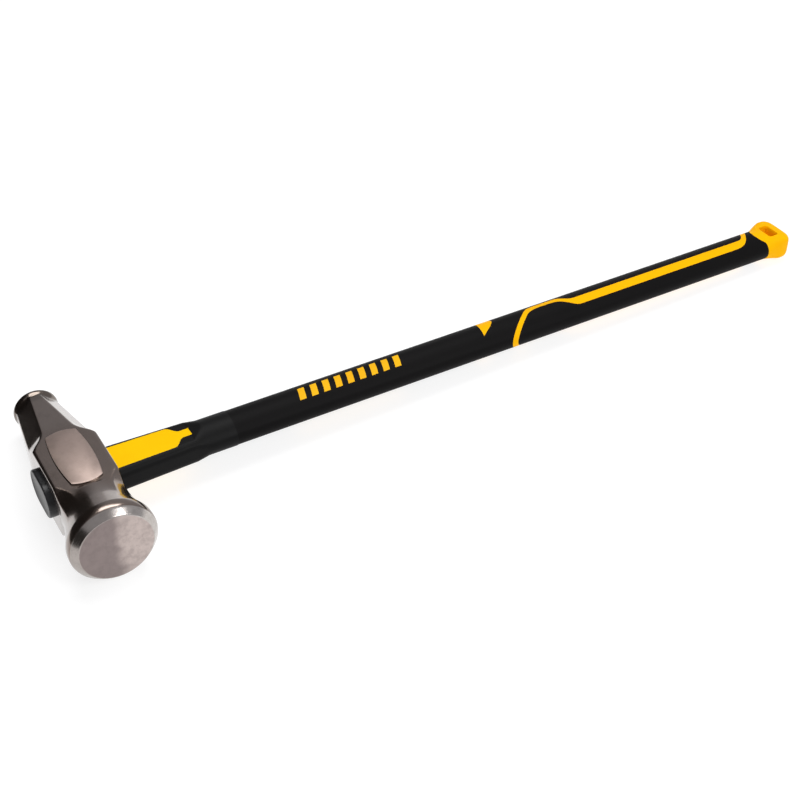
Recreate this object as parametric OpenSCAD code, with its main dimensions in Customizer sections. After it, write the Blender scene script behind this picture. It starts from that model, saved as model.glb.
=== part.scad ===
// Ten-pound sledgehammer: a forged head bonded to a glass-fibre rod, with a moulded handle.
// +X runs along the handle from the head to the butt, the large striking face looks to -Y, and the
// hammer lies on its side. The origin is the centre of the lower cheek pad.

/* [Head] */
// Width of the square block, along the handle
head_w = 62; // [56:1:74]
// Thickness of the block between the cheeks, without the pads
head_t = 60; // [54:1:72]
// Length of the square block, along the head
block_l = 84; // [78:2:104]
// Eye centre to the large striking face
near_reach = 101; // [96:1:124]
// Eye centre to the small face
far_reach = 125; // [104:1:150]
// Diameter of the large face's flange
near_d = 84; // [78:1:100]
// Diameter of the small face's flange
far_d = 45; // [40:1:54]

/* [Cheek pads] */
// Width of the ground pad, along the handle
pad_w = 30; // [25:1:36]
// Length of the ground pad at its corners
pad_l = 73; // [60:1:75]
// Height of the pad above the cheek
pad_rise = 1.5; // [0.8:0.1:3]

/* [Eye] */
// Width of the eye, across the handle
eye_w = 47; // [40:1:50]
// Height of the eye, between the cheeks
eye_t = 29; // [24:1:33]
// Width of the eye cap
cap_w = 54; // [51:1:66]
// Height of the eye cap
cap_t = 37; // [33:1:46]
// Thickness of the eye cap outside the head
cap_h = 6; // [4:0.5:10]

/* [Handle] */
// Eye centre to the end of the butt
reach = 857; // [700:1:1040]
// Width of the grip
grip_w = 41.6; // [38:0.4:50]
// Height of the grip
grip_t = 32; // [29:0.5:36]
// Width of the glass-fibre rod
rod_w = 26; // [21:1:31]
// Height of the glass-fibre rod
rod_t = 17; // [14:0.5:19]
// Thickness of the soft sleeve over the jacket
sleeve_wall = 2.8; // [1.6:0.2:3.4]

/* [Neck guard] */
// Width of the guard's flat neck
neck_w = 48; // [46:1:56]
// Height of the guard's flat neck
neck_t = 26.4; // [24:0.2:31]
// Wall of the guard at its neck
neck_wall = 2.2; // [1.4:0.2:3]
// Length of the guard
guard_l = 124; // [104:1:160]

/* [Butt] */
// Widest part of the butt
butt_w = 47; // [45:1:60]
// Thickest part of the butt
butt_t = 30; // [28:1:42]
// Length of the butt behind the tip of its tongue
butt_l = 42; // [40:1:60]
// Length of the hang hole, across the handle
hole_w = 21; // [14:1:26]
// Width of the hang hole, along the handle
hole_l = 12; // [8:1:16]

/* [Hidden] */
$fn = 96;
EPS = 0.01;
far = 400;                        // longer than any cut through the head or the handle

// Head
axis_z = head_t / 2 + pad_rise;   // height of the handle's axis over the lower pad
face_x = head_w / 2;
far_cut = 15;                     // how far the block's corners are cut back at the small end
near_cut = 11;                    // and at the large end
near_neck = 29;                   // radius of the neck where the flare starts
far_facet_x = 5.5;                // half width of the taper's top facet at the small end
far_rim = 5;
far_bevel = 1.6;
near_rim = 8;                     // straight rim of the large flange
near_bevel = 6.4;                 // bevel between the rim and the ground face
near_bevel_l = 7.5;
flare_bend = 1.15;                // 1 is a straight cone, more is a hollow flare
pad_end_bow = 4;
pad_side_bow = 3.4;

// Eye, cap and rod
plug_l = 6;                       // how deep the cap's plug goes into the eye
cap_edge = 1.5;                   // bevel round the cap's outer edge

// Handle and guard
guard_x = face_x + guard_l;
waist_x = face_x + 0.66 * guard_l; // the flat neck ends here
loft_end = face_x + 0.76 * guard_l;
neck_r = 8;
neck_taper = 3.4;                 // how far each side of the flat neck comes in by the waist
ring_step = 0.4;                  // how far the guard's end ring stands over the sleeve
butt_x = reach - butt_l;          // tip of the butt's tongue
edge_x = butt_x + 8.5;            // edge of the sleeve at its sides
tongue_r = 16.5;
tongue_fillet = 6;                // hollow where the tongue runs into the sleeve's edge
flare_l = 20;                     // the butt reaches its full size this far behind the edge
full_l = 4;                       // and keeps it for this long
heel_l = 6;                       // rounded heel at the end
heel_in_w = 4;                    // how much narrower the butt is where the heel starts
heel_in_t = 2;                    // and how much thinner
end_in_w = 14;                    // how much narrower its flat end is
end_in_t = 9;                     // and how much thinner
butt_r = 6;                       // corner radii of those three outlines
heel_r = 6;
butt_end_r = 5;
hole_x = edge_x + 14;             // middle of the hang hole
hole_r = 3;

// Neck panel
panel_w = 33;
panel_taper = 1.4;                // how far each side comes in by the shoulder
panel_end_w = 10.5;
panel_start_x = face_x + 0.5;
panel_shoulder_x = face_x + 62;
panel_neck_x = panel_shoulder_x + 12;
panel_end_x = panel_neck_x + 9;

// Stripe, fin and bars, placed from the butt's tongue towards the head and sunk into the sleeve
inlay = 0.4 * sleeve_wall;
stripe_end_x = butt_x - 16;
stripe_join_x = butt_x - 256;
line_bend_x = butt_x - 304;
line_foot_x = butt_x - 346;
fin_x = butt_x - 373;
bars_x = guard_x + 72;
bar_count = 9;
bar_pitch = 13.5;
bar_w = 7;
bar_h = 15;
bar_slant = 4;

// ---------- shapes ----------

function half_wave(t) = (1 + cos(180 * t)) / 2;

// Outline with each corner turned into a curve that starts r before it, or half a short side
function soft_corners(pts, r) = let (n = len(pts)) [
    for (i = [0:n - 1]) let (
        b = pts[i], a = pts[(i + n - 1) % n] - b, c = pts[(i + 1) % n] - b,
        p = b + a * min(r / norm(a), 0.45), q = b + c * min(r / norm(c), 0.45))
        for (t = [0, 0.25, 0.5, 0.75, 1]) p * pow(1 - t, 2) + b * (2 * t * (1 - t)) + q * t * t];

// Lifts a piece that is drawn round the handle's axis to its height over the lower pad
module on_axis() { translate([0, 0, axis_z]) children(); }

// Stands a section across the handle, from x = a to x = b
module along_x(a, b) {
    translate([a, 0, 0]) rotate([90, 0, 90]) linear_extrude(height = b - a) children();
}

// Cuts an outline seen from above right through the handle
module through_z() { linear_extrude(height = far, center = true) children(); }

// Oval of four arcs, half width hw and half height hh
module oval(hw, hh) {
    r = 0.7 * hh;
    c = hw - r;
    drop = hh - r;
    k = (c * c - drop * drop) / (2 * drop);
    big = k + hh;
    intersection() {
        translate([0, -k]) circle(r = big, $fn = 180);
        translate([0, k]) circle(r = big, $fn = 180);
        square([2 * c * big / (big - r), 3 * hh], center = true);
    }
    for (s = [-1, 1]) translate([s * c, 0]) circle(r = r);
}

// Band with round ends, width w and height h
module racetrack(w, h) {
    square([w - h, h], center = true);
    for (s = [-1, 1]) translate([s * (w - h) / 2, 0]) circle(d = h);
}

module round_rect(w, h, r) {
    square([w - 2 * r, h], center = true);
    square([w, h - 2 * r], center = true);
    for (sx = [-1, 1], sy = [-1, 1]) translate([sx * (w / 2 - r), sy * (h / 2 - r)]) circle(r = r);
}

// ---------- head ----------

// Long prism whose half width follows profile = [[y, half width], ...], turned about the head
module faceted_pair(profile, turn) {
    n = len(profile);
    right = [for (p = profile) [p[1], p[0]]];
    left = [for (i = [n - 1:-1:0]) [-profile[i][1], profile[i][0]]];
    rotate([0, turn, 0]) linear_extrude(height = far, center = true) polygon(concat(right, left));
}

// Square block with cut corners and an eight-sided taper at each end
module faceted_body() {
    end = block_l / 2;
    far_y = far_reach - far_rim - 1;
    far_half = far_d / 2 - 2;
    near_y = end + 18;
    corner = (head_w + head_t) / 2 / sqrt(2) + EPS;
    plan = [[-near_y, near_neck], [-end, head_w / 2], [end, head_w / 2], [far_y, far_half]];
    side = [[-near_y, near_neck], [-end, head_t / 2], [end, head_t / 2], [far_y, far_half]];
    diagonal = [[-near_y, near_neck + 4], [-end, corner - near_cut / sqrt(2)],
                [near_cut - end, corner], [end - far_cut, corner],
                [end, corner - far_cut / sqrt(2)], [far_y, (far_half + far_facet_x) / sqrt(2)]];
    intersection() {
        faceted_pair(plan, 0);
        faceted_pair(side, 90);
        faceted_pair(diagonal, 45);
        faceted_pair(diagonal, -45);
    }
}

// Large round flange with its flare, bevel and ground face
module near_flange() {
    r = near_d / 2;
    start = block_l / 2 + 2;
    rim_back = near_reach - near_bevel_l - near_rim;
    flare = [for (i = [0:10])
        [near_neck + (r - near_neck) * pow(i / 10, flare_bend), start + (rim_back - start) * i / 10]];
    rotate([90, 0, 0]) rotate_extrude()
        polygon(concat([[0, start]], flare,
                       [[r, rim_back + near_rim], [r - near_bevel, near_reach], [0, near_reach]]));
}

module far_flange() {
    r = far_d / 2;
    back = far_reach - far_rim;
    rotate([-90, 0, 0]) rotate_extrude()
        polygon([[0, back - 14], [r - 4.5, back - 14], [r - 3, back - 5], [r, back],
                 [r, far_reach - far_bevel], [r - far_bevel, far_reach], [0, far_reach]]);
}

// Ground pad with bowed sides and ends
module pad_outline() {
    end_r = (pow(pad_w / 2, 2) + pow(pad_end_bow, 2)) / (2 * pad_end_bow);
    side_r = (pow(pad_l / 2, 2) + pow(pad_side_bow, 2)) / (2 * pad_side_bow);
    intersection() {
        union() {
            square([2 * pad_w, pad_l], center = true);
            for (s = [-1, 1]) translate([0, s * (pad_l / 2 + pad_end_bow - end_r)]) circle(r = end_r);
        }
        intersection_for (s = [-1, 1]) translate([s * (side_r - pad_w / 2 - pad_side_bow), 0])
            circle(r = side_r, $fn = 360);
    }
}

module eye_section() { racetrack(eye_w, eye_t); }
module rod_section() { racetrack(rod_w, rod_t); }

// Forged steel, with the eye through the block
module head() {
    color("dimgray") on_axis() difference() {
        union() {
            faceted_body();
            near_flange();
            far_flange();
            linear_extrude(height = 2 * axis_z, center = true) pad_outline();
        }
        along_x(-far, far) eye_section();
    }
}

// ---------- what fills the eye ----------

// Black moulded cap with a plug that closes the eye's outer end
module eye_cap() {
    color("#2e2e30") on_axis() {
        hull() {
            along_x(-face_x - cap_h + cap_edge, -face_x) racetrack(cap_w, cap_t, $fn = 32);
            along_x(-face_x - cap_h, -face_x - cap_h + EPS)
                racetrack(cap_w - 2 * cap_edge, cap_t - 2 * cap_edge, $fn = 32);
        }
        along_x(-face_x, -face_x + plug_l) eye_section();
    }
}

// Cast resin between the rod and the wall of the eye
module eye_resin() {
    color("#6b4a2a") on_axis() along_x(-face_x + plug_l, face_x) difference() {
        eye_section();
        rod_section();
    }
}

// Pultruded glass-fibre rod, from the eye to the butt
module core_rod() {
    color("#cfc9b0") on_axis() along_x(-face_x + plug_l, butt_x) rod_section();
}

// ---------- handle ----------

// Flat tapering neck that turns into an oval: shrink and neck_shrink take the wall off the outside
module neck_to_oval(shrink, neck_shrink, step, length) {
    w = neck_w - 2 * neck_shrink;
    t = neck_t - 2 * neck_shrink;
    hw = grip_w / 2 + step - shrink;
    hh = grip_t / 2 + step - shrink;
    hull() {
        along_x(face_x, face_x + EPS) round_rect(w, t, neck_r - neck_shrink, $fn = 32);
        along_x(waist_x - EPS, waist_x) round_rect(w - 2 * neck_taper, t, neck_r - neck_shrink, $fn = 32);
    }
    hull() {
        along_x(waist_x - EPS, waist_x) round_rect(w - 2 * neck_taper, t, neck_r - neck_shrink, $fn = 32);
        along_x(loft_end - EPS, loft_end) oval(hw, hh, $fn = 32);
    }
    along_x(loft_end - EPS, length) oval(hw, hh);
}

module guard_form() { neck_to_oval(0, 0, ring_step, guard_x); }
module jacket_form() { neck_to_oval(sleeve_wall, neck_wall, 0, butt_x); }

// Hard jacket moulded over the rod
module handle_jacket() {
    color("#3a3a3a") on_axis() difference() {
        jacket_form();
        along_x(face_x - 1, butt_x + 1) rod_section();
    }
}

// Outline of the neck panel, like a flat bottle with its neck towards the butt
module bottle_outline() {
    steps = 10;
    shoulder_w = panel_w - 2 * panel_taper;
    shoulder_pts = [for (i = [0:steps])
        [panel_shoulder_x + (panel_neck_x - panel_shoulder_x) * i / steps,
         (panel_end_w + (shoulder_w - panel_end_w) * half_wave(i / steps)) / 2]];
    side = concat([[panel_start_x, panel_w / 2]], shoulder_pts, [[panel_end_x, panel_end_w / 2]]);
    back = [for (i = [len(side) - 1:-1:0]) [side[i][0], -side[i][1]]];
    polygon(concat(side, back));
}

// One panel fills the guard's wall on the upper (1) or the lower (-1) face
module neck_panel(face) {
    color("gold") on_axis() difference() {
        intersection() {
            guard_form();
            translate([0, 0, face * far / 4]) linear_extrude(height = far / 2, center = true)
                bottle_outline();
        }
        jacket_form();
    }
}

module neck_panel_upper() { neck_panel(1); }
module neck_panel_lower() { neck_panel(-1); }

// Overstrike guard: the thick black moulding behind the head
module neck_guard() {
    color("#3c3c3e") on_axis() difference() {
        guard_form();
        jacket_form();
        through_z() bottle_outline();
    }
}

// Sleeve between the guard and the butt, as a tube with the given wall
module sleeve_tube(wall) {
    difference() {
        along_x(guard_x, edge_x) oval(grip_w / 2, grip_t / 2);
        along_x(guard_x - 1, edge_x + 1) oval(grip_w / 2 - wall, grip_t / 2 - wall);
    }
}

// Stripe: a thin line climbs over the handle, drops into a broad band and climbs again at the butt
module stripe_outline() {
    edge = grip_w / 2 + 2;
    band_top = -1;
    band_low = -11;
    line_top = 9.7;
    line_low = 3;
    polygon(soft_corners([
        [line_foot_x, -edge], [line_bend_x - 9, line_top - 4.5], [line_bend_x - 4, line_top - 1.2],
        [line_bend_x + 5, line_top], [stripe_join_x - 20, line_top], [stripe_join_x - 14, line_top - 1.5],
        [stripe_join_x - 2, band_top], [stripe_end_x - 5, band_top], [stripe_end_x, band_top + 3],
        [stripe_end_x + 15, edge], [stripe_end_x + 22, edge],
        [stripe_end_x + 2, band_top - 3], [stripe_end_x - 4, band_low + 2],
        [stripe_end_x - 13, band_low], [stripe_join_x + 2, band_low],
        [stripe_join_x - 16, line_low - 1], [stripe_join_x - 24, line_low],
        [line_bend_x + 3, line_low], [line_bend_x - 7, line_low - 3], [line_foot_x + 7, -edge]],
        5));
}

module fin_outline() {
    edge = grip_w / 2 + 2;
    polygon([[fin_x, -10], [fin_x + 13, -1], [fin_x + 19, 5.5], [fin_x + 20, 10],
             [fin_x + 20, edge], [fin_x + 4.5, edge], [fin_x + 1, 0]]);
}

module bar_outlines() {
    for (i = [0:bar_count - 1]) translate([bars_x + i * bar_pitch, -bar_h / 2 - 3])
        polygon([[0, 0], [bar_w, 0], [bar_w + bar_slant, bar_h], [bar_slant, bar_h]]);
}

// Outline of the butt seen from above, where it meets the sleeve
module butt_outline() {
    tongue_x = butt_x + tongue_r;
    fillet_x = edge_x - tongue_fillet;
    fillet_y = sqrt(pow(tongue_r + tongue_fillet, 2) - pow(tongue_x - fillet_x, 2));
    touch = tongue_r / (tongue_r + tongue_fillet);
    translate([tongue_x, 0]) circle(r = tongue_r);
    for (s = [-1, 1]) difference() {
        polygon([[tongue_x, 0], [tongue_x + (fillet_x - tongue_x) * touch, s * fillet_y * touch],
                 [fillet_x + tongue_fillet / 2, s * fillet_y], [edge_x + 1, s * fillet_y]]);
        translate([fillet_x, s * fillet_y]) circle(r = tongue_fillet);
    }
    translate([edge_x, -far / 2]) square([far, far]);
}

// What the outline leaves of the sleeve's outer skin, on both faces
module inlaid() {
    intersection() {
        sleeve_tube(inlay);
        through_z() children();
    }
}

// Soft black sleeve with recesses for the stripe, the fin and the bars
module grip_sleeve() {
    color("#1f1f21") on_axis() difference() {
        sleeve_tube(sleeve_wall);
        through_z() butt_outline();
        inlaid() stripe_outline();
        inlaid() fin_outline();
        inlaid() bar_outlines();
    }
}

module grip_stripe() { color("gold") on_axis() inlaid() stripe_outline(); }
module grip_fin() { color("gold") on_axis() inlaid() fin_outline(); }

// Row of plain bars on both faces
module mark_bars() { color("goldenrod") on_axis() inlaid() bar_outlines(); }

// ---------- butt ----------

// Flared end: flush with the sleeve, then wide, then closing to the end face
module butt_form() {
    along_x(butt_x, edge_x) oval(grip_w / 2, grip_t / 2);
    hull() {
        along_x(edge_x, edge_x + EPS) oval(grip_w / 2, grip_t / 2, $fn = 32);
        along_x(edge_x + flare_l, edge_x + flare_l + full_l)
            round_rect(butt_w, butt_t, butt_r, $fn = 32);
        along_x(reach - heel_l - 1, reach - heel_l)
            round_rect(butt_w - heel_in_w, butt_t - heel_in_t, heel_r, $fn = 32);
        along_x(reach - EPS, reach)
            round_rect(butt_w - end_in_w, butt_t - end_in_t, butt_end_r, $fn = 32);
    }
}

// Yellow butt with its hang hole
module butt_cap() {
    color("gold") on_axis() difference() {
        union() {
            intersection() {
                butt_form();
                through_z() butt_outline();
            }
            along_x(butt_x, edge_x) oval(grip_w / 2 - sleeve_wall, grip_t / 2 - sleeve_wall);
        }
        translate([hole_x, 0, 0]) through_z() round_rect(hole_l, hole_w, hole_r);
    }
}

head();
eye_cap();
eye_resin();
core_rod();
handle_jacket();
neck_guard();
neck_panel_upper();
neck_panel_lower();
grip_sleeve();
grip_stripe();
grip_fin();
mark_bars();
butt_cap();
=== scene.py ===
import math

import bpy
import numpy as np
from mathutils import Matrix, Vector


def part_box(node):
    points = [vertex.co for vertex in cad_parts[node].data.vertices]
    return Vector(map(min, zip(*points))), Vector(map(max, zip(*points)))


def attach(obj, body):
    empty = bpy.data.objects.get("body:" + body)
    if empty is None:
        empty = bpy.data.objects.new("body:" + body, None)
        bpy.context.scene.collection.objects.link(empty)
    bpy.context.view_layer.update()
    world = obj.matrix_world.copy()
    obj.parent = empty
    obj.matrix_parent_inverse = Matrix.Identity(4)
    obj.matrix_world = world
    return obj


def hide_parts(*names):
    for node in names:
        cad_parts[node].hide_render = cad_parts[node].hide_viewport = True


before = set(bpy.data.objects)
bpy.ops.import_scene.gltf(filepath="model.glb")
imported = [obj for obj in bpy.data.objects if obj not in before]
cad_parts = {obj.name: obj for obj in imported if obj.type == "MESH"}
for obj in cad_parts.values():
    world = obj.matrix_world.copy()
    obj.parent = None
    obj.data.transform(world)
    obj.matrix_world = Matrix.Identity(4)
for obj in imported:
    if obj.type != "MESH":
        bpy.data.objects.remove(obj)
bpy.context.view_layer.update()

# ---------------------------------------------------------------------------
# Head. One steel forging: a block with cut corners, an eight-sided taper to the
# small face, a flare to the large one, and the eye through it along X. Dark clear
# lacquer, with the large face and its bevel ground bright.
# ---------------------------------------------------------------------------

head_low, head_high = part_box("head")
axis_z = (head_low.z + head_high.z) / 2
near_y, far_y = head_low.y, head_high.y
near_r = head_high.x
block_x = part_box("neck_guard")[0].x
block_z = 0.030
block_y = 0.042
far_r = 0.0225
# how fast the planes close in, from the block to the small face and to the neck
side_taper, top_taper, corner_taper = 0.1364, 0.1234, 0.1837
side_draft, top_draft, corner_draft = 0.11, 0.055, 0.1306
# the corner planes: on the block, at the two cuts, and where taper and neck start
corner_block, corner_cut, corner_far, corner_near = 0.0437, 0.0431, 0.0325, 0.0353
cut_slope = 0.707
far_cut_y, near_cut_y = 0.027, -0.031
# the round flare starts at flare_y with this radius, and the small lip likewise
flare_y, flare_r = -0.044, 0.0295
lip_y, lip_r, lip_l = 0.1125, 0.0188, 0.0075


class Link:
    """A shader socket that adds Math nodes when it is used in an expression."""

    def __init__(self, look, socket):
        self.look, self.socket = look, socket

    def math(self, operation, *values):
        inputs = {i: v for i, v in enumerate(values)}
        return self.look.node("ShaderNodeMath", {"operation": operation}, inputs)

    def __add__(self, other):
        return self.math("ADD", self, other)

    def __mul__(self, other):
        return self.math("MULTIPLY", self, other)

    def __sub__(self, other):
        return self.math("SUBTRACT", self, other)

    def __rsub__(self, other):
        return self.math("SUBTRACT", other, self)

    __radd__, __rmul__ = __add__, __mul__


class Look:
    """One material, or the world, whose nodes are all made by node()."""

    def __init__(self, name, owner=None):
        self.owner = owner or bpy.data.materials.new(name)
        self.owner.use_nodes = True
        self.tree = self.owner.node_tree
        self.tree.nodes.clear()

    def node(self, kind, settings=None, inputs=None, output=0):
        made = self.tree.nodes.new(kind)
        for key, value in (settings or {}).items():
            setattr(made, key, value)
        for key, value in (inputs or {}).items():
            if isinstance(value, Link):
                self.tree.links.new(value.socket, made.inputs[key])
            else:
                made.inputs[key].default_value = value
        return Link(self, made.outputs[output] if made.outputs else None)

    def place(self, scale=(1, 1, 1)):
        """Object coordinates in metres, stretched by scale."""
        point = self.node("ShaderNodeTexCoord", output=3)
        return self.node("ShaderNodeMapping", inputs={0: point, 3: scale})

    def noise(self, scale, detail=4.0, rough=0.55, stretch=(1, 1, 1)):
        return self.node("ShaderNodeTexNoise", {"noise_dimensions": "3D"},
                         {"Vector": self.place(stretch), "Scale": scale,
                          "Detail": detail, "Roughness": rough})

    def mask(self, value, low, high):
        """0 below low, 1 above high, smooth between."""
        return self.node("ShaderNodeMapRange", {"interpolation_type": "SMOOTHSTEP"},
                         {0: value, 1: low, 2: high, 3: 0.0, 4: 1.0})

    def mix(self, amount, first, second):
        colours = {k: (*v, 1) if isinstance(v, tuple) and len(v) == 3 else v
                   for k, v in ((6, first), (7, second))}
        return self.node("ShaderNodeMix", {"data_type": "RGBA"},
                         {0: amount, **colours}, output=2)

    def bump(self, height, distance, strength=1.0):
        return self.node("ShaderNodeBump", inputs={"Height": height, "Distance": distance,
                                                   "Strength": strength})

    def surface(self, **sockets):
        inputs = {k.replace("_", " "): v for k, v in sockets.items()}
        shader = self.node("ShaderNodeBsdfPrincipled", inputs=inputs)
        self.node("ShaderNodeOutputMaterial", inputs={"Surface": shader})
        return self.owner


def clear_selection():
    if bpy.context.object and bpy.context.object.mode != "OBJECT":
        bpy.ops.object.mode_set(mode="OBJECT")
    bpy.ops.object.select_all(action="DESELECT")


def start_piece(name):
    """Names the primitive just added and puts its place into its mesh."""
    piece = bpy.context.object
    piece.name = piece.data.name = name
    bpy.ops.object.transform_apply(location=True, rotation=True, scale=True)
    return piece


def pick(piece, kind, test):
    """In edit mode, selects the faces or edges that pass the test."""
    bpy.ops.object.mode_set(mode="EDIT")
    bpy.ops.mesh.select_mode(type={"polygons": "FACE", "edges": "EDGE"}[kind])
    bpy.ops.mesh.select_all(action="DESELECT")
    bpy.ops.object.mode_set(mode="OBJECT")
    for part in getattr(piece.data, kind):
        part.select = bool(test(part))
    bpy.ops.object.mode_set(mode="EDIT")


def points_of(piece):
    co = np.empty(len(piece.data.vertices) * 3)
    piece.data.vertices.foreach_get("co", co)
    return co.reshape(-1, 3)


def move_points(piece, points):
    piece.data.vertices.foreach_set("co", np.asarray(points, np.float32).ravel())
    piece.data.update()


def ringed_bar(name, sides, rings, along):
    """A closed bar of many sides along an axis, cut across so it has this many rings."""
    clear_selection()
    turn = {"x": (0, math.pi / 2, 0), "y": (-math.pi / 2, 0, 0), "z": (0, 0, 0)}[along]
    bpy.ops.mesh.primitive_cylinder_add(vertices=sides, radius=1, depth=2, rotation=turn)
    piece = start_piece(name)
    axis = "xyz".index(along)
    ends = points_of(piece)[:, axis]
    pick(piece, "edges", lambda e: abs(ends[e.vertices[0]] - ends[e.vertices[1]]) > 1)
    bpy.ops.mesh.subdivide(number_cuts=rings - 2)
    bpy.ops.object.mode_set(mode="OBJECT")
    return piece


def shape_rings(piece, along, stations, radius_at):
    """Moves each ring to its station and each of its points to the radius found there."""
    co = points_of(piece)
    axis = "xyz".index(along)
    across = {"x": (1, 2), "y": (0, 2), "z": (0, 1)}[along]
    steps = np.rint((co[:, axis] + 1) / 2 * (len(stations) - 1)).astype(int)
    angle = np.arctan2(co[:, across[1]], co[:, across[0]])
    reach = radius_at(steps, angle)
    co[:, axis] = np.asarray(stations)[steps]
    co[:, across[0]], co[:, across[1]] = reach * np.cos(angle), reach * np.sin(angle)
    co[:, 2] += axis_z
    move_points(piece, co)


def soft_low(a, b, width):
    """The smaller of two sizes, with the corner between them rounded."""
    share = np.clip(0.5 + 0.5 * (b - a) / width, 0, 1)
    return b * (1 - share) + a * share - width * share * (1 - share)


def soft_high(a, b, width):
    return -soft_low(-a, -b, width)


def finish_piece(piece, slot_name, *looks, angle=50):
    """Normals outward, soft shading up to the angle, materials, and its place on the part."""
    pick(piece, "polygons", lambda f: True)
    bpy.ops.mesh.normals_make_consistent(inside=False)
    clear_selection()
    piece.select_set(True)
    bpy.context.view_layer.objects.active = piece
    bpy.ops.object.shade_smooth_by_angle(angle=math.radians(angle))
    for look in looks:
        piece.data.materials.append(look)
    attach(piece, "root")


def cut_with(piece, cutter, operation="DIFFERENCE"):
    clear_selection()
    bpy.context.view_layer.objects.active = piece
    cut = piece.modifiers.new("cut", "BOOLEAN")
    cut.object, cut.operation, cut.solver = cutter, operation, "EXACT"
    bpy.ops.object.modifier_apply(modifier=cut.name)
    bpy.data.objects.remove(cutter)


# stations along the body, and station and radius for each ring of the two flanges
rim_start = near_y + 0.0155
body_y = np.concatenate([
    np.arange(rim_start, -0.028, 0.001), np.arange(-0.027, 0.0225, 0.0045),
    np.arange(0.0235, 0.047, 0.0009), np.arange(0.0475, 0.108, 0.0024),
    np.arange(0.1085, 0.1205, 0.0006)])
near_rings = [(near_y, 0.0347), (near_y + 0.0001, 0.0352), (near_y + 0.00035, 0.0356),
              (near_y + 0.0008, 0.0360), (near_y + 0.0030, 0.0380), (near_y + 0.0052, 0.0399),
              (near_y + 0.0066, 0.0410), (near_y + 0.0076, 0.0416), (near_y + 0.0087, 0.04190),
              (near_y + 0.0100, near_r), (near_y + 0.0125, near_r)]
far_rings = [(0.1211, 0.0223), (0.1217, far_r), (0.1228, 0.02248), (0.1235, 0.0223),
             (0.1242, 0.0218), (0.1247, 0.0212), (0.12492, 0.0206), (far_y, 0.0199)]
head_y = np.array([y for y, r in near_rings] + list(body_y) + [y for y, r in far_rings])
ring_r = np.array([r for y, r in near_rings] + [0.0] * len(body_y) + [r for y, r in far_rings])


def head_radius(steps, angle):
    y = head_y[steps]
    to_far, to_near = y - block_y, -block_y - y
    # flat sides, top and bottom, and the four cut corners of the block and the taper
    half_x = soft_low(block_x + 0 * y, block_x - side_taper * to_far, 0.0015)
    half_x = soft_low(half_x, block_x - side_draft * to_near, 0.0015)
    half_z = soft_low(block_z + 0 * y, block_z - top_taper * to_far, 0.0015)
    half_z = soft_low(half_z, block_z - top_draft * to_near, 0.0015)
    far_cut = soft_high(corner_cut - cut_slope * (y - far_cut_y),
                        corner_far - corner_taper * to_far, 0.0045)
    near_cut = soft_high(corner_cut + cut_slope * (y - near_cut_y),
                         corner_near - corner_draft * to_near, 0.0045)
    corner = soft_low(soft_low(corner_block + 0 * y, far_cut, 0.007), near_cut, 0.003)
    cos, sin = np.abs(np.cos(angle)), np.abs(np.sin(angle))
    flat = soft_low(half_x / np.maximum(cos, 0.05), half_z / np.maximum(sin, 0.05), 0.0035)
    body = soft_low(flat, corner / ((cos + sin) / math.sqrt(2)), 0.0011)
    # the round flare that grows to the large flange, and the lip of the small one
    grow = np.clip((flare_y - y) / (flare_y - rim_start), 0, 1)
    flare = flare_r + (near_r - 0.0001 - flare_r) * grow ** 1.12
    near = soft_high(body, flare, 0.006)
    near = near + (flare - near) * np.clip((grow - 0.9) / 0.1, 0, 1) ** 2
    lip = lip_r + (far_r - 0.0002 - lip_r) * np.clip((y - lip_y) / lip_l, 0, 1) ** 1.6
    far = soft_high(body, lip, 0.0014)
    far = far + (lip - far) * np.clip((y - 0.1175) / 0.003, 0, 1)
    shaped = np.where(y < flare_y + 0.001, near, np.where(y > 0.11, far, body))
    return np.where(ring_r[steps] > 0, ring_r[steps], shaped)


def racetrack(width, height, count):
    """Points round a band with round ends, width along the first direction."""
    t = np.arange(count) / count * 2 * math.pi
    flat = (width - height) / 2
    return (np.sign(np.cos(t)) * flat + height / 2 * np.cos(t), height / 2 * np.sin(t))


def bar_along_x(name, low, high, width, height, count=96):
    clear_selection()
    bpy.ops.mesh.primitive_cylinder_add(vertices=count, radius=1, depth=1,
                                        rotation=(0, math.pi / 2, 0))
    piece = start_piece(name)
    co = points_of(piece)
    share = np.arctan2(co[:, 2], co[:, 1]) / (2 * math.pi)
    order = np.rint(share * count).astype(int) % count
    y, z = racetrack(width, height, count)
    co[:, 0] = np.where(co[:, 0] > 0, high, low)
    co[:, 1], co[:, 2] = y[order], z[order] + axis_z
    move_points(piece, co)
    return piece


head = ringed_bar("forged_head", 256, len(head_y), "y")
shape_rings(head, "y", head_y, head_radius)

resin_low, resin_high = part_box("eye_resin")
eye_cut = bar_along_x("eye_cut", -0.06, 0.06, resin_high.y - resin_low.y,
                      resin_high.z - resin_low.z)
cut_with(head, eye_cut)


def lacquered_steel():
    """Dark clear lacquer over the forging scale: soft clouds, a faint orange-peel skin, and
    painted shade on the small flange.
    """
    look = Look("lacquered_forging")
    cloud = look.noise(26, 3, 0.5)
    skin = look.noise(210, 4, 0.55)
    fine = look.noise(1100, 2, 0.5)
    blotch = look.mask(look.noise(60, 5, 0.6), 0.52, 0.80)
    base = look.mix(cloud, (0.185, 0.140, 0.116), (0.265, 0.212, 0.184))
    base = look.mix(blotch * 0.45, base, (0.095, 0.068, 0.048))
    # painted shade: past y = 0.104 the lacquer is darkened towards the small flange, to damp the
    # highlight on its lip
    along = look.node("ShaderNodeSeparateXYZ", inputs={0: look.place()}, output=1)
    base = look.mix(look.mask(along, 0.104, 0.113) * 0.55, base, (0.085, 0.068, 0.050))
    return look.surface(
        Base_Color=base, Metallic=1.0, Roughness=0.15 + 0.09 * skin + 0.04 * fine,
        Coat_Weight=0.8, Coat_Roughness=0.07, Coat_IOR=1.55,
        Normal=look.bump(skin * 0.8 + fine * 0.1, 0.00010, 0.5))


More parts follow.
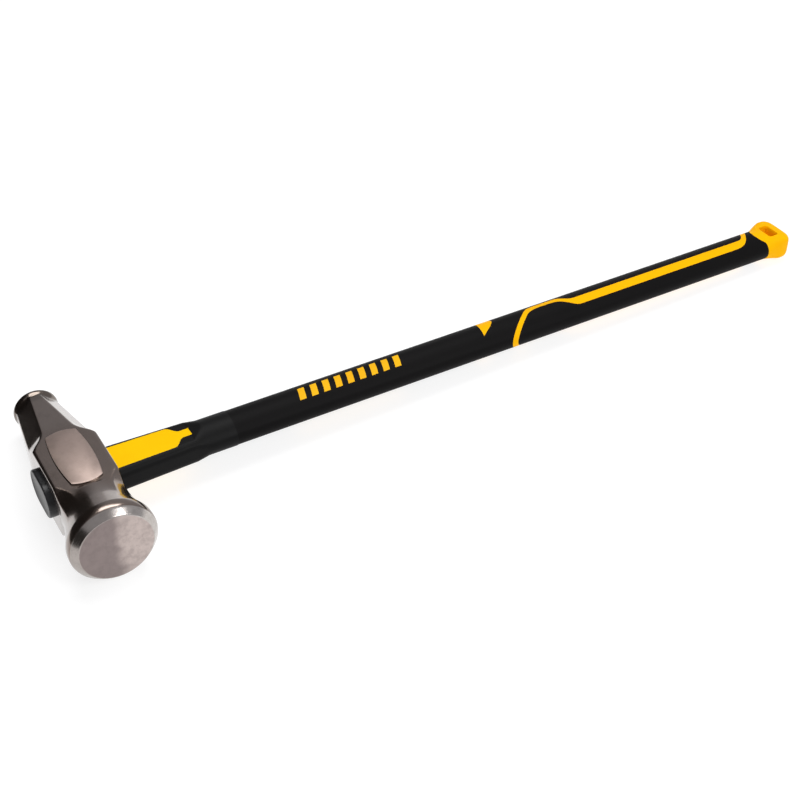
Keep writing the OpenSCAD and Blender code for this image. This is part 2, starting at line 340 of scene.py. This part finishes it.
def ground_steel(name, turn, dark, light, rough, slant=0.0):
    """Steel off the grinding belt: fine lines one way, a painted reflection where two passes meet
    (one side lighter than the other), and speckle.
    """
    look = Look(name)
    lines = look.noise(430, 4, 0.65, turn)
    speck = look.mask(look.noise(1300, 2, 0.6), 0.60, 0.72)
    cloud = look.noise(48, 3, 0.5)
    across = look.node("ShaderNodeSeparateXYZ", inputs={0: look.place()})
    mottle = look.mask(look.noise(150, 4, 0.62), 0.40, 0.68)
    # painted reflection: the colour is lighter on one side of x = 0.006 to 0.020 (moved by
    # slant), standing in for two grinding passes that catch the light differently
    reflection_split = look.mask(across + cloud * 0.02, 0.006 + slant, 0.020 + slant)
    base = look.mix(reflection_split, dark, light)
    base = look.mix(cloud * 0.30, base, tuple(0.80 * c for c in dark))
    base = look.mix(lines * 0.30, base, tuple(0.70 * c for c in dark))
    base = look.mix(mottle * 0.28, base, tuple(0.62 * c for c in dark))
    base = look.mix(speck * 0.45, base, (0.30, 0.25, 0.22))
    return look.surface(
        Base_Color=base, Metallic=1.0, Roughness=rough + 0.12 * lines + 0.08 * cloud,
        Normal=look.bump(lines * 0.8 + speck * 0.5, 0.00005, 0.5))


lacquer = lacquered_steel()
face_steel = ground_steel("ground_face", (1, 1, 0.2),
                          (0.27, 0.222, 0.214), (0.62, 0.525, 0.490), 0.25)
bevel_steel = ground_steel("ground_bevel", (1, 1, 1),
                           (0.42, 0.38, 0.355), (0.60, 0.56, 0.53), 0.11)
finish_piece(head, "head_steel", lacquer, face_steel, bevel_steel)
for face in head.data.polygons:
    y = face.center.y
    if y < near_y + 0.00005 or y > far_y - 0.00002:
        face.material_index = 1
    elif y < near_y + 0.0076:
        face.material_index = 2
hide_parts("head")

# ---------------------------------------------------------------------------
# Cheek pads. Two low pads left proud of the block and ground flat on the belt,
# with bowed sides and ends and a crisp edge.
# ---------------------------------------------------------------------------

pad_x, pad_y = 0.015, 0.0365
pad_bow_x, pad_bow_y = 0.0034, 0.004
pad_root_z = 0.0285
upper_pad_z = 2 * axis_z


def pad_edge(count):
    s = np.linspace(-1, 1, count // 4 + 1)[:-1]
    bow = 1 - s * s
    right = np.c_[pad_x + pad_bow_x * bow, pad_y * s]
    top = np.c_[-pad_x * s, pad_y + pad_bow_y * bow]
    return np.vstack([right, top, -right, -top])


def outline_block(name, outline, low, high):
    """A closed block with this outline seen from above, its points given anticlockwise."""
    clear_selection()
    bpy.ops.mesh.primitive_circle_add(vertices=len(outline), radius=1, fill_type="NGON")
    piece = start_piece(name)
    co = points_of(piece)
    share = np.arctan2(co[:, 1], co[:, 0]) / (2 * math.pi)
    order = np.rint(share * len(outline)).astype(int) % len(outline)
    co[:, :2] = np.asarray(outline)[order]
    co[:, 2] = low
    move_points(piece, co)
    pick(piece, "polygons", lambda f: True)
    bpy.ops.mesh.extrude_region_move(TRANSFORM_OT_translate={"value": (0, 0, high - low)})
    bpy.ops.object.mode_set(mode="OBJECT")
    return piece


def cheek_pad(name, side):
    top = upper_pad_z if side > 0 else 0.0
    piece = outline_block(name, pad_edge(96), axis_z + side * pad_root_z, top)
    off_top = np.abs(points_of(piece)[:, 2] - top)
    pick(piece, "edges", lambda e: off_top[e.vertices[0]] + off_top[e.vertices[1]] < 1e-6)
    bpy.ops.mesh.bevel(offset=0.0005, segments=3, affect="EDGES")
    bpy.ops.object.mode_set(mode="OBJECT")
    return piece


pad_steel = ground_steel("ground_pad", (1, 0.3, 1),
                         (0.52, 0.405, 0.350), (0.45, 0.350, 0.310), 0.27, -0.016)
for name, side in (("upper_cheek_pad", 1), ("lower_cheek_pad", -1)):
    pad = cheek_pad(name, side)
    finish_piece(pad, "head_steel", pad_steel, lacquer, angle=35)
    for face in pad.data.polygons:
        face.material_index = int(abs(face.normal.z) < 0.3)
    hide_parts("head")

# ---------------------------------------------------------------------------
# Eye cap. A black moulded plug that closes the outer end of the eye: an oval
# plate with a rounded edge and a faint moulding line along its middle.
# ---------------------------------------------------------------------------

cap_low, cap_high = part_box("eye_cap")
cap = bar_along_x("eye_end_cap", cap_low.x, -block_x,
                  cap_high.y - cap_low.y, cap_high.z - cap_low.z)
ends = points_of(cap)[:, 0]
pick(cap, "edges", lambda e: max(ends[e.vertices[0]], ends[e.vertices[1]]) < cap_low.x + 1e-6)
bpy.ops.mesh.bevel(offset=0.0016, segments=5, affect="EDGES")
bpy.ops.object.mode_set(mode="OBJECT")
pick(cap, "polygons", lambda f: f.center.x < cap_low.x + 1e-6 and len(f.vertices) > 8)
bpy.ops.mesh.inset(thickness=0.0022)
bpy.ops.mesh.inset(thickness=0.0006, depth=-0.00035)
bpy.ops.object.mode_set(mode="OBJECT")


def moulded_black(name, base, rough, grain, gloss, line=None):
    look = Look(name)
    pores = look.noise(grain, 3, 0.6)
    cloud = look.noise(35, 3, 0.55)
    height = pores
    if line:
        height = height + line(look) * 2.5
    base = look.mix(cloud, base, tuple(1.6 * c + 0.001 for c in base))
    return look.surface(
        Base_Color=base, Roughness=rough + 0.12 * cloud + 0.05 * pores,
        Specular_IOR_Level=gloss, Normal=look.bump(height, 0.00006, 0.7))


def cap_line(look):
    z = look.node("ShaderNodeSeparateXYZ", inputs={0: look.place()}, output=2)
    off = z.math("ABSOLUTE", z - axis_z)
    return 1 - look.mask(off, 0.0001, 0.0005)


cap_black = moulded_black("cap_moulding", (0.012, 0.012, 0.013), 0.30, 700, 0.42, cap_line)
finish_piece(cap, "cap_plastic", cap_black, angle=40)
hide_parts("eye_cap")

# ---------------------------------------------------------------------------
# Resin, rod and jacket. What holds the head on: cast resin round the pultruded
# glass-fibre rod in the eye, and the hard jacket moulded over the rod.
# ---------------------------------------------------------------------------


def paint(node, look):
    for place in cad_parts[node].material_slots:
        place.material = look


resin = Look("cast_resin")
paint("eye_resin", resin.surface(
    Base_Color=resin.mix(resin.noise(120, 4), (0.10, 0.05, 0.02), (0.20, 0.11, 0.05)),
    Roughness=0.25 + 0.2 * resin.noise(300, 3),
    Normal=resin.bump(resin.noise(240, 3), 0.0002, 0.5)))
glass = Look("glass_fibre")
strands = glass.noise(900, 3, 0.6, (0.02, 1, 1))
paint("core_rod", glass.surface(
    Base_Color=glass.mix(strands, (0.52, 0.47, 0.32), (0.74, 0.70, 0.55)),
    Roughness=0.4 + 0.2 * strands, Normal=glass.bump(strands, 0.0001, 0.5)))
paint("handle_jacket", moulded_black("jacket_moulding", (0.04, 0.04, 0.04), 0.5, 500, 0.3))

# ---------------------------------------------------------------------------
# Neck guard and sleeve. Tough smooth rubber behind the head, then a softer,
# finely grained sleeve moulded over the jacket as far as the butt.
# ---------------------------------------------------------------------------

paint("neck_guard", moulded_black("guard_rubber", (0.0028, 0.0028, 0.0029), 0.42, 650, 0.11))
paint("grip_sleeve", moulded_black("sleeve_rubber", (0.0022, 0.0019, 0.0020), 0.48, 1100, 0.085))

# ---------------------------------------------------------------------------
# Yellow trim. Two panels let into the guard, and the stripe, the fin and the
# bars let into the sleeve, all flush.
# ---------------------------------------------------------------------------


def moulded_yellow(name, light, deep):
    look = Look(name)
    cloud = look.noise(22, 3, 0.5)
    pores = look.noise(800, 3, 0.6)
    base = look.mix(cloud, light, deep)
    return look.surface(
        Base_Color=base, Roughness=0.42 + 0.12 * cloud + 0.06 * pores,
        Specular_IOR_Level=0.04, Normal=look.bump(pores, 0.00005, 0.6))


panel_yellow = moulded_yellow("panel_yellow", (0.94, 0.59, 0.0), (0.93, 0.50, 0.0))
trim_yellow = moulded_yellow("trim_yellow", (0.94, 0.49, 0.0), (0.93, 0.43, 0.0))
paint("neck_panel_upper", panel_yellow)
paint("neck_panel_lower", panel_yellow)
paint("grip_stripe", trim_yellow)
paint("grip_fin", trim_yellow)
paint("mark_bars", moulded_yellow("mark_yellow", (0.90, 0.50, 0.012), (0.82, 0.40, 0.008)))

# ---------------------------------------------------------------------------
# Butt. A flared yellow end moulded on last, with a tongue over the sleeve, soft
# edges all round and a hole to hang the hammer up by.
# ---------------------------------------------------------------------------

butt_low, butt_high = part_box("butt_cap")
edge_x, end_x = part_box("grip_sleeve")[1].x, butt_high.x
tongue_r = 0.0165
hollow_r = 0.006


def oval_radius(angle, hw, hh):
    """Radius of an oval of four arcs at an angle."""
    cos, sin = np.abs(np.cos(angle)), np.abs(np.sin(angle))
    r = 0.7 * hh
    c, drop = hw - r, hh - r
    k = (c * c - drop * drop) / (2 * drop)
    big = k + hh
    side = c * cos + np.sqrt(np.maximum(r * r - (c * sin) ** 2, 0))
    crown = -k * sin + np.sqrt(np.maximum(big * big - (k * cos) ** 2, 0))
    slope = np.hypot(c, k)
    touch = np.arctan2(-k + big * k / slope, big * c / slope)
    return np.where(np.arctan2(sin, cos) < touch, side, crown)


def box_radius(angle, hw, hh, power):
    cos, sin = np.abs(np.cos(angle)), np.abs(np.sin(angle))
    return ((cos / hw) ** power + (sin / hh) ** power) ** (-1 / power)


# how far past the sleeve's edge, half width and half thickness there
butt_x = np.array([-0.010, 0.0, 0.004, 0.010, 0.0155, 0.0205,
                   0.0238, 0.0268, 0.0295, 0.0316, 0.0328, 0.0333])
butt_w = np.array([0.0208, 0.0208, 0.0213, 0.0223, 0.0231, 0.0235,
                   0.0234, 0.0226, 0.0210, 0.0188, 0.0168, 0.0156])
butt_t = np.array([0.0160, 0.0160, 0.0158, 0.0154, 0.0152, 0.0150,
                   0.0148, 0.0144, 0.0136, 0.0122, 0.0107, 0.0098])
butt_stations = np.concatenate([np.linspace(-0.010, 0, 6), np.linspace(0.0006, 0.027, 40),
                                np.linspace(0.0274, 0.0333, 28)])


def smooth_through(places, sizes, at):
    """A smooth curve through sizes given at places, with no overshoot."""
    step = np.diff(places)
    rise = np.diff(sizes) / step
    slope = np.zeros(len(sizes))
    for i in range(1, len(sizes) - 1):
        if rise[i - 1] * rise[i] > 0:
            slope[i] = 2 * rise[i - 1] * rise[i] / (rise[i - 1] + rise[i])
    slope[-1] = rise[-1]
    i = np.clip(np.searchsorted(places, at) - 1, 0, len(step) - 1)
    t = (at - places[i]) / step[i]
    return ((1 + 2 * t) * (1 - t) ** 2 * sizes[i] + t * (1 - t) ** 2 * step[i] * slope[i]
            + t * t * (3 - 2 * t) * sizes[i + 1] + t * t * (t - 1) * step[i] * slope[i + 1])


def butt_radius(steps, angle):
    at = butt_stations[steps]
    hw, ht = smooth_through(butt_x, butt_w, at), smooth_through(butt_x, butt_t, at)
    share = np.clip(at / 0.018, 0, 1)  # from the grip's oval to a box with round corners
    return oval_radius(angle, hw, ht) * (1 - share) + box_radius(angle, hw, ht, 5.0) * share


butt = ringed_bar("flared_butt", 160, len(butt_stations), "x")
shape_rings(butt, "x", butt_stations + edge_x, butt_radius)
co = points_of(butt)
past_edge = np.clip((co[:, 0] - edge_x) / 0.013, 0, 1)
co[:, 1] += 0.0014 * past_edge * past_edge * (3 - 2 * past_edge)  # a slight lean to one side
move_points(butt, co)

# the outline kept, seen from above: a round tongue that runs out in a hollow to the sleeve's edge
tongue_x = butt_low.x + tongue_r
hollow_y = math.sqrt((tongue_r + hollow_r) ** 2 - (tongue_x - edge_x + hollow_r) ** 2)
lean = math.atan2(hollow_y, tongue_x - edge_x + hollow_r)
swing = np.linspace(lean, -lean, 25)
tongue = np.c_[tongue_x - tongue_r * np.cos(swing), tongue_r * np.sin(swing)]
turn = np.linspace(0, lean, 9)[:-1]
hollow = np.c_[edge_x - hollow_r + hollow_r * np.cos(turn), hollow_y - hollow_r * np.sin(turn)]
clear = 0.04  # well outside the butt
outline = np.vstack([[[edge_x + 0.05, -clear], [edge_x + 0.05, clear], [edge_x, clear]],
                     hollow, tongue, hollow[::-1] * (1, -1), [[edge_x, -clear]]])
keep = outline_block("butt_keep", outline, axis_z - clear, axis_z + clear)
cut_with(butt, keep, "INTERSECT")

# the hang hole, with a rounded rim on both faces
hole_x, hole_hx, hole_hy, hole_r = edge_x + 0.014, 0.006, 0.0105, 0.003
butt_face_z = 0.0154
rim_z = butt_face_z - np.array([0.0, 0.0002, 0.0006, 0.0013])
spread = np.array([0.0016, 0.0011, 0.0005, 0.0])
hole_z = np.concatenate([[-0.019], -rim_z, np.linspace(-0.010, 0.010, 6), rim_z[::-1], [0.019]])
hole_out = np.concatenate([[0.0018], spread, np.zeros(6), spread[::-1], [0.0018]])


def hole_radius(steps, angle):
    out = hole_out[steps]
    cos, sin = np.abs(np.cos(angle)), np.abs(np.sin(angle))
    hx, hy = hole_hx + out, hole_hy + out
    r = hole_r + out
    straight = np.minimum(hx / np.maximum(cos, 1e-6), hy / np.maximum(sin, 1e-6))
    cx, cy = hx - r, hy - r
    along = cx * cos + cy * sin
    bend = along + np.sqrt(np.maximum(along ** 2 - cx ** 2 - cy ** 2 + r ** 2, 0))
    px, py = straight * cos, straight * sin
    return np.where((px > cx) & (py > cy), bend, straight)


hole_cut = ringed_bar("hole_cut", 64, len(hole_z), "z")
shape_rings(hole_cut, "z", hole_z, hole_radius)
co = points_of(hole_cut)
co[:, 0] += hole_x
move_points(hole_cut, co)
cut_with(butt, hole_cut)

butt_yellow = moulded_yellow("butt_yellow", (0.97, 0.51, 0.0), (0.96, 0.44, 0.0))
finish_piece(butt, "yellow_plastic", butt_yellow, angle=42)
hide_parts("butt_cap")

# ---------------------------------------------------------------------------
# Floor, light and camera. The hammer rests on the rim of the large flange, the
# far edge of the lower pad and the butt, on a plain pale floor in soft light.
# ---------------------------------------------------------------------------

rest = [Vector((0.0, rim_start, head_low.z)),
        Vector((0.0083, pad_y + 0.0028, 0.0)),
        Vector((end_x - 0.0125, 0.013, butt_low.z + 0.001))]
up = (rest[1] - rest[0]).cross(rest[2] - rest[0]).normalized()
if up.z < 0:
    up = -up
clear_selection()
bpy.ops.mesh.primitive_plane_add(size=14)
floor = bpy.context.object
floor.name = "floor"
floor.rotation_mode = "QUATERNION"
floor.rotation_quaternion = up.to_track_quat("Z", "Y")
floor.location = rest[0] - up * 0.0004
paper = Look("paper_floor")
floor.data.materials.append(paper.surface(
    Base_Color=paper.mix(paper.noise(3, 2), (0.26, 0.26, 0.26), (0.29, 0.29, 0.29)),
    Roughness=0.9, Emission_Color=(1, 1, 1, 1), Emission_Strength=0.80))

world = bpy.data.worlds.new("studio")
bpy.context.scene.world = world
sky = Look("studio", world)
direction = sky.node("ShaderNodeTexCoord")
dark_side = tuple(Vector((-0.72, 0.58, 0.38)).normalized())
toward_left = sky.node("ShaderNodeVectorMath", {"operation": "DOT_PRODUCT"},
                       {0: direction, 1: dark_side}, output=1)
shade = sky.mask(toward_left, 0.45, 0.86)
sky.node("ShaderNodeOutputWorld", inputs={"Surface": sky.node("ShaderNodeBackground", inputs={
    "Color": sky.mix(shade, (0.46, 0.46, 0.48), (0.03, 0.026, 0.024)), "Strength": 1.0})})

# two dark cards beside the head, seen only in the reflections of the polished lacquer
felt = Look("dark_felt")
felt_black = felt.surface(
    Base_Color=felt.mix(felt.noise(5, 2), (0.010, 0.008, 0.007), (0.016, 0.013, 0.011)),
    Roughness=1.0)


def dark_card(name, middle, turn, width, height):
    clear_selection()
    bpy.ops.mesh.primitive_plane_add(size=1, location=middle,
                                     rotation=(math.pi / 2, 0, math.radians(turn)))
    card = bpy.context.object
    card.name, card.scale = name, (width, height, 1)
    card.data.materials.append(felt_black)
    card.visible_camera = card.visible_diffuse = card.visible_shadow = False


dark_card("card_behind", (-0.205, 0.070, 0.13), 46, 0.56, 0.34)
dark_card("card_left", (-0.300, -0.330, 0.09), 90, 0.40, 0.26)


def softbox(name, place, aim, width, height, power):
    light = bpy.data.lights.new(name, "AREA")
    light.shape, light.size, light.size_y, light.energy = "RECTANGLE", width, height, power
    lamp = bpy.data.objects.new(name, light)
    bpy.context.scene.collection.objects.link(lamp)
    lamp.location = place
    lamp.rotation_mode = "QUATERNION"
    lamp.rotation_quaternion = (Vector(aim) - Vector(place)).to_track_quat("-Z", "Y")


softbox("front_right", (0.75, -1.15, 1.05), (0.15, -0.05, 0.03), 0.7, 0.5, 9)
softbox("overhead", (0.5, 0.4, 1.9), (0.4, 0, 0.03), 1.6, 1.0, 25)

camera = bpy.data.objects.new("camera", bpy.data.cameras.new("camera"))
bpy.context.scene.collection.objects.link(camera)
camera.location = (-0.2263, -0.9987, 0.9098)
aim = Vector((0.2840, -0.1085, 0.0906))
camera.rotation_mode = "QUATERNION"
camera.rotation_quaternion = (aim - camera.location).to_track_quat("-Z", "Y")
camera.data.lens, camera.data.sensor_width = 63.3, 36
bpy.context.scene.camera = camera
bpy.context.scene.view_settings.view_transform = "Standard"
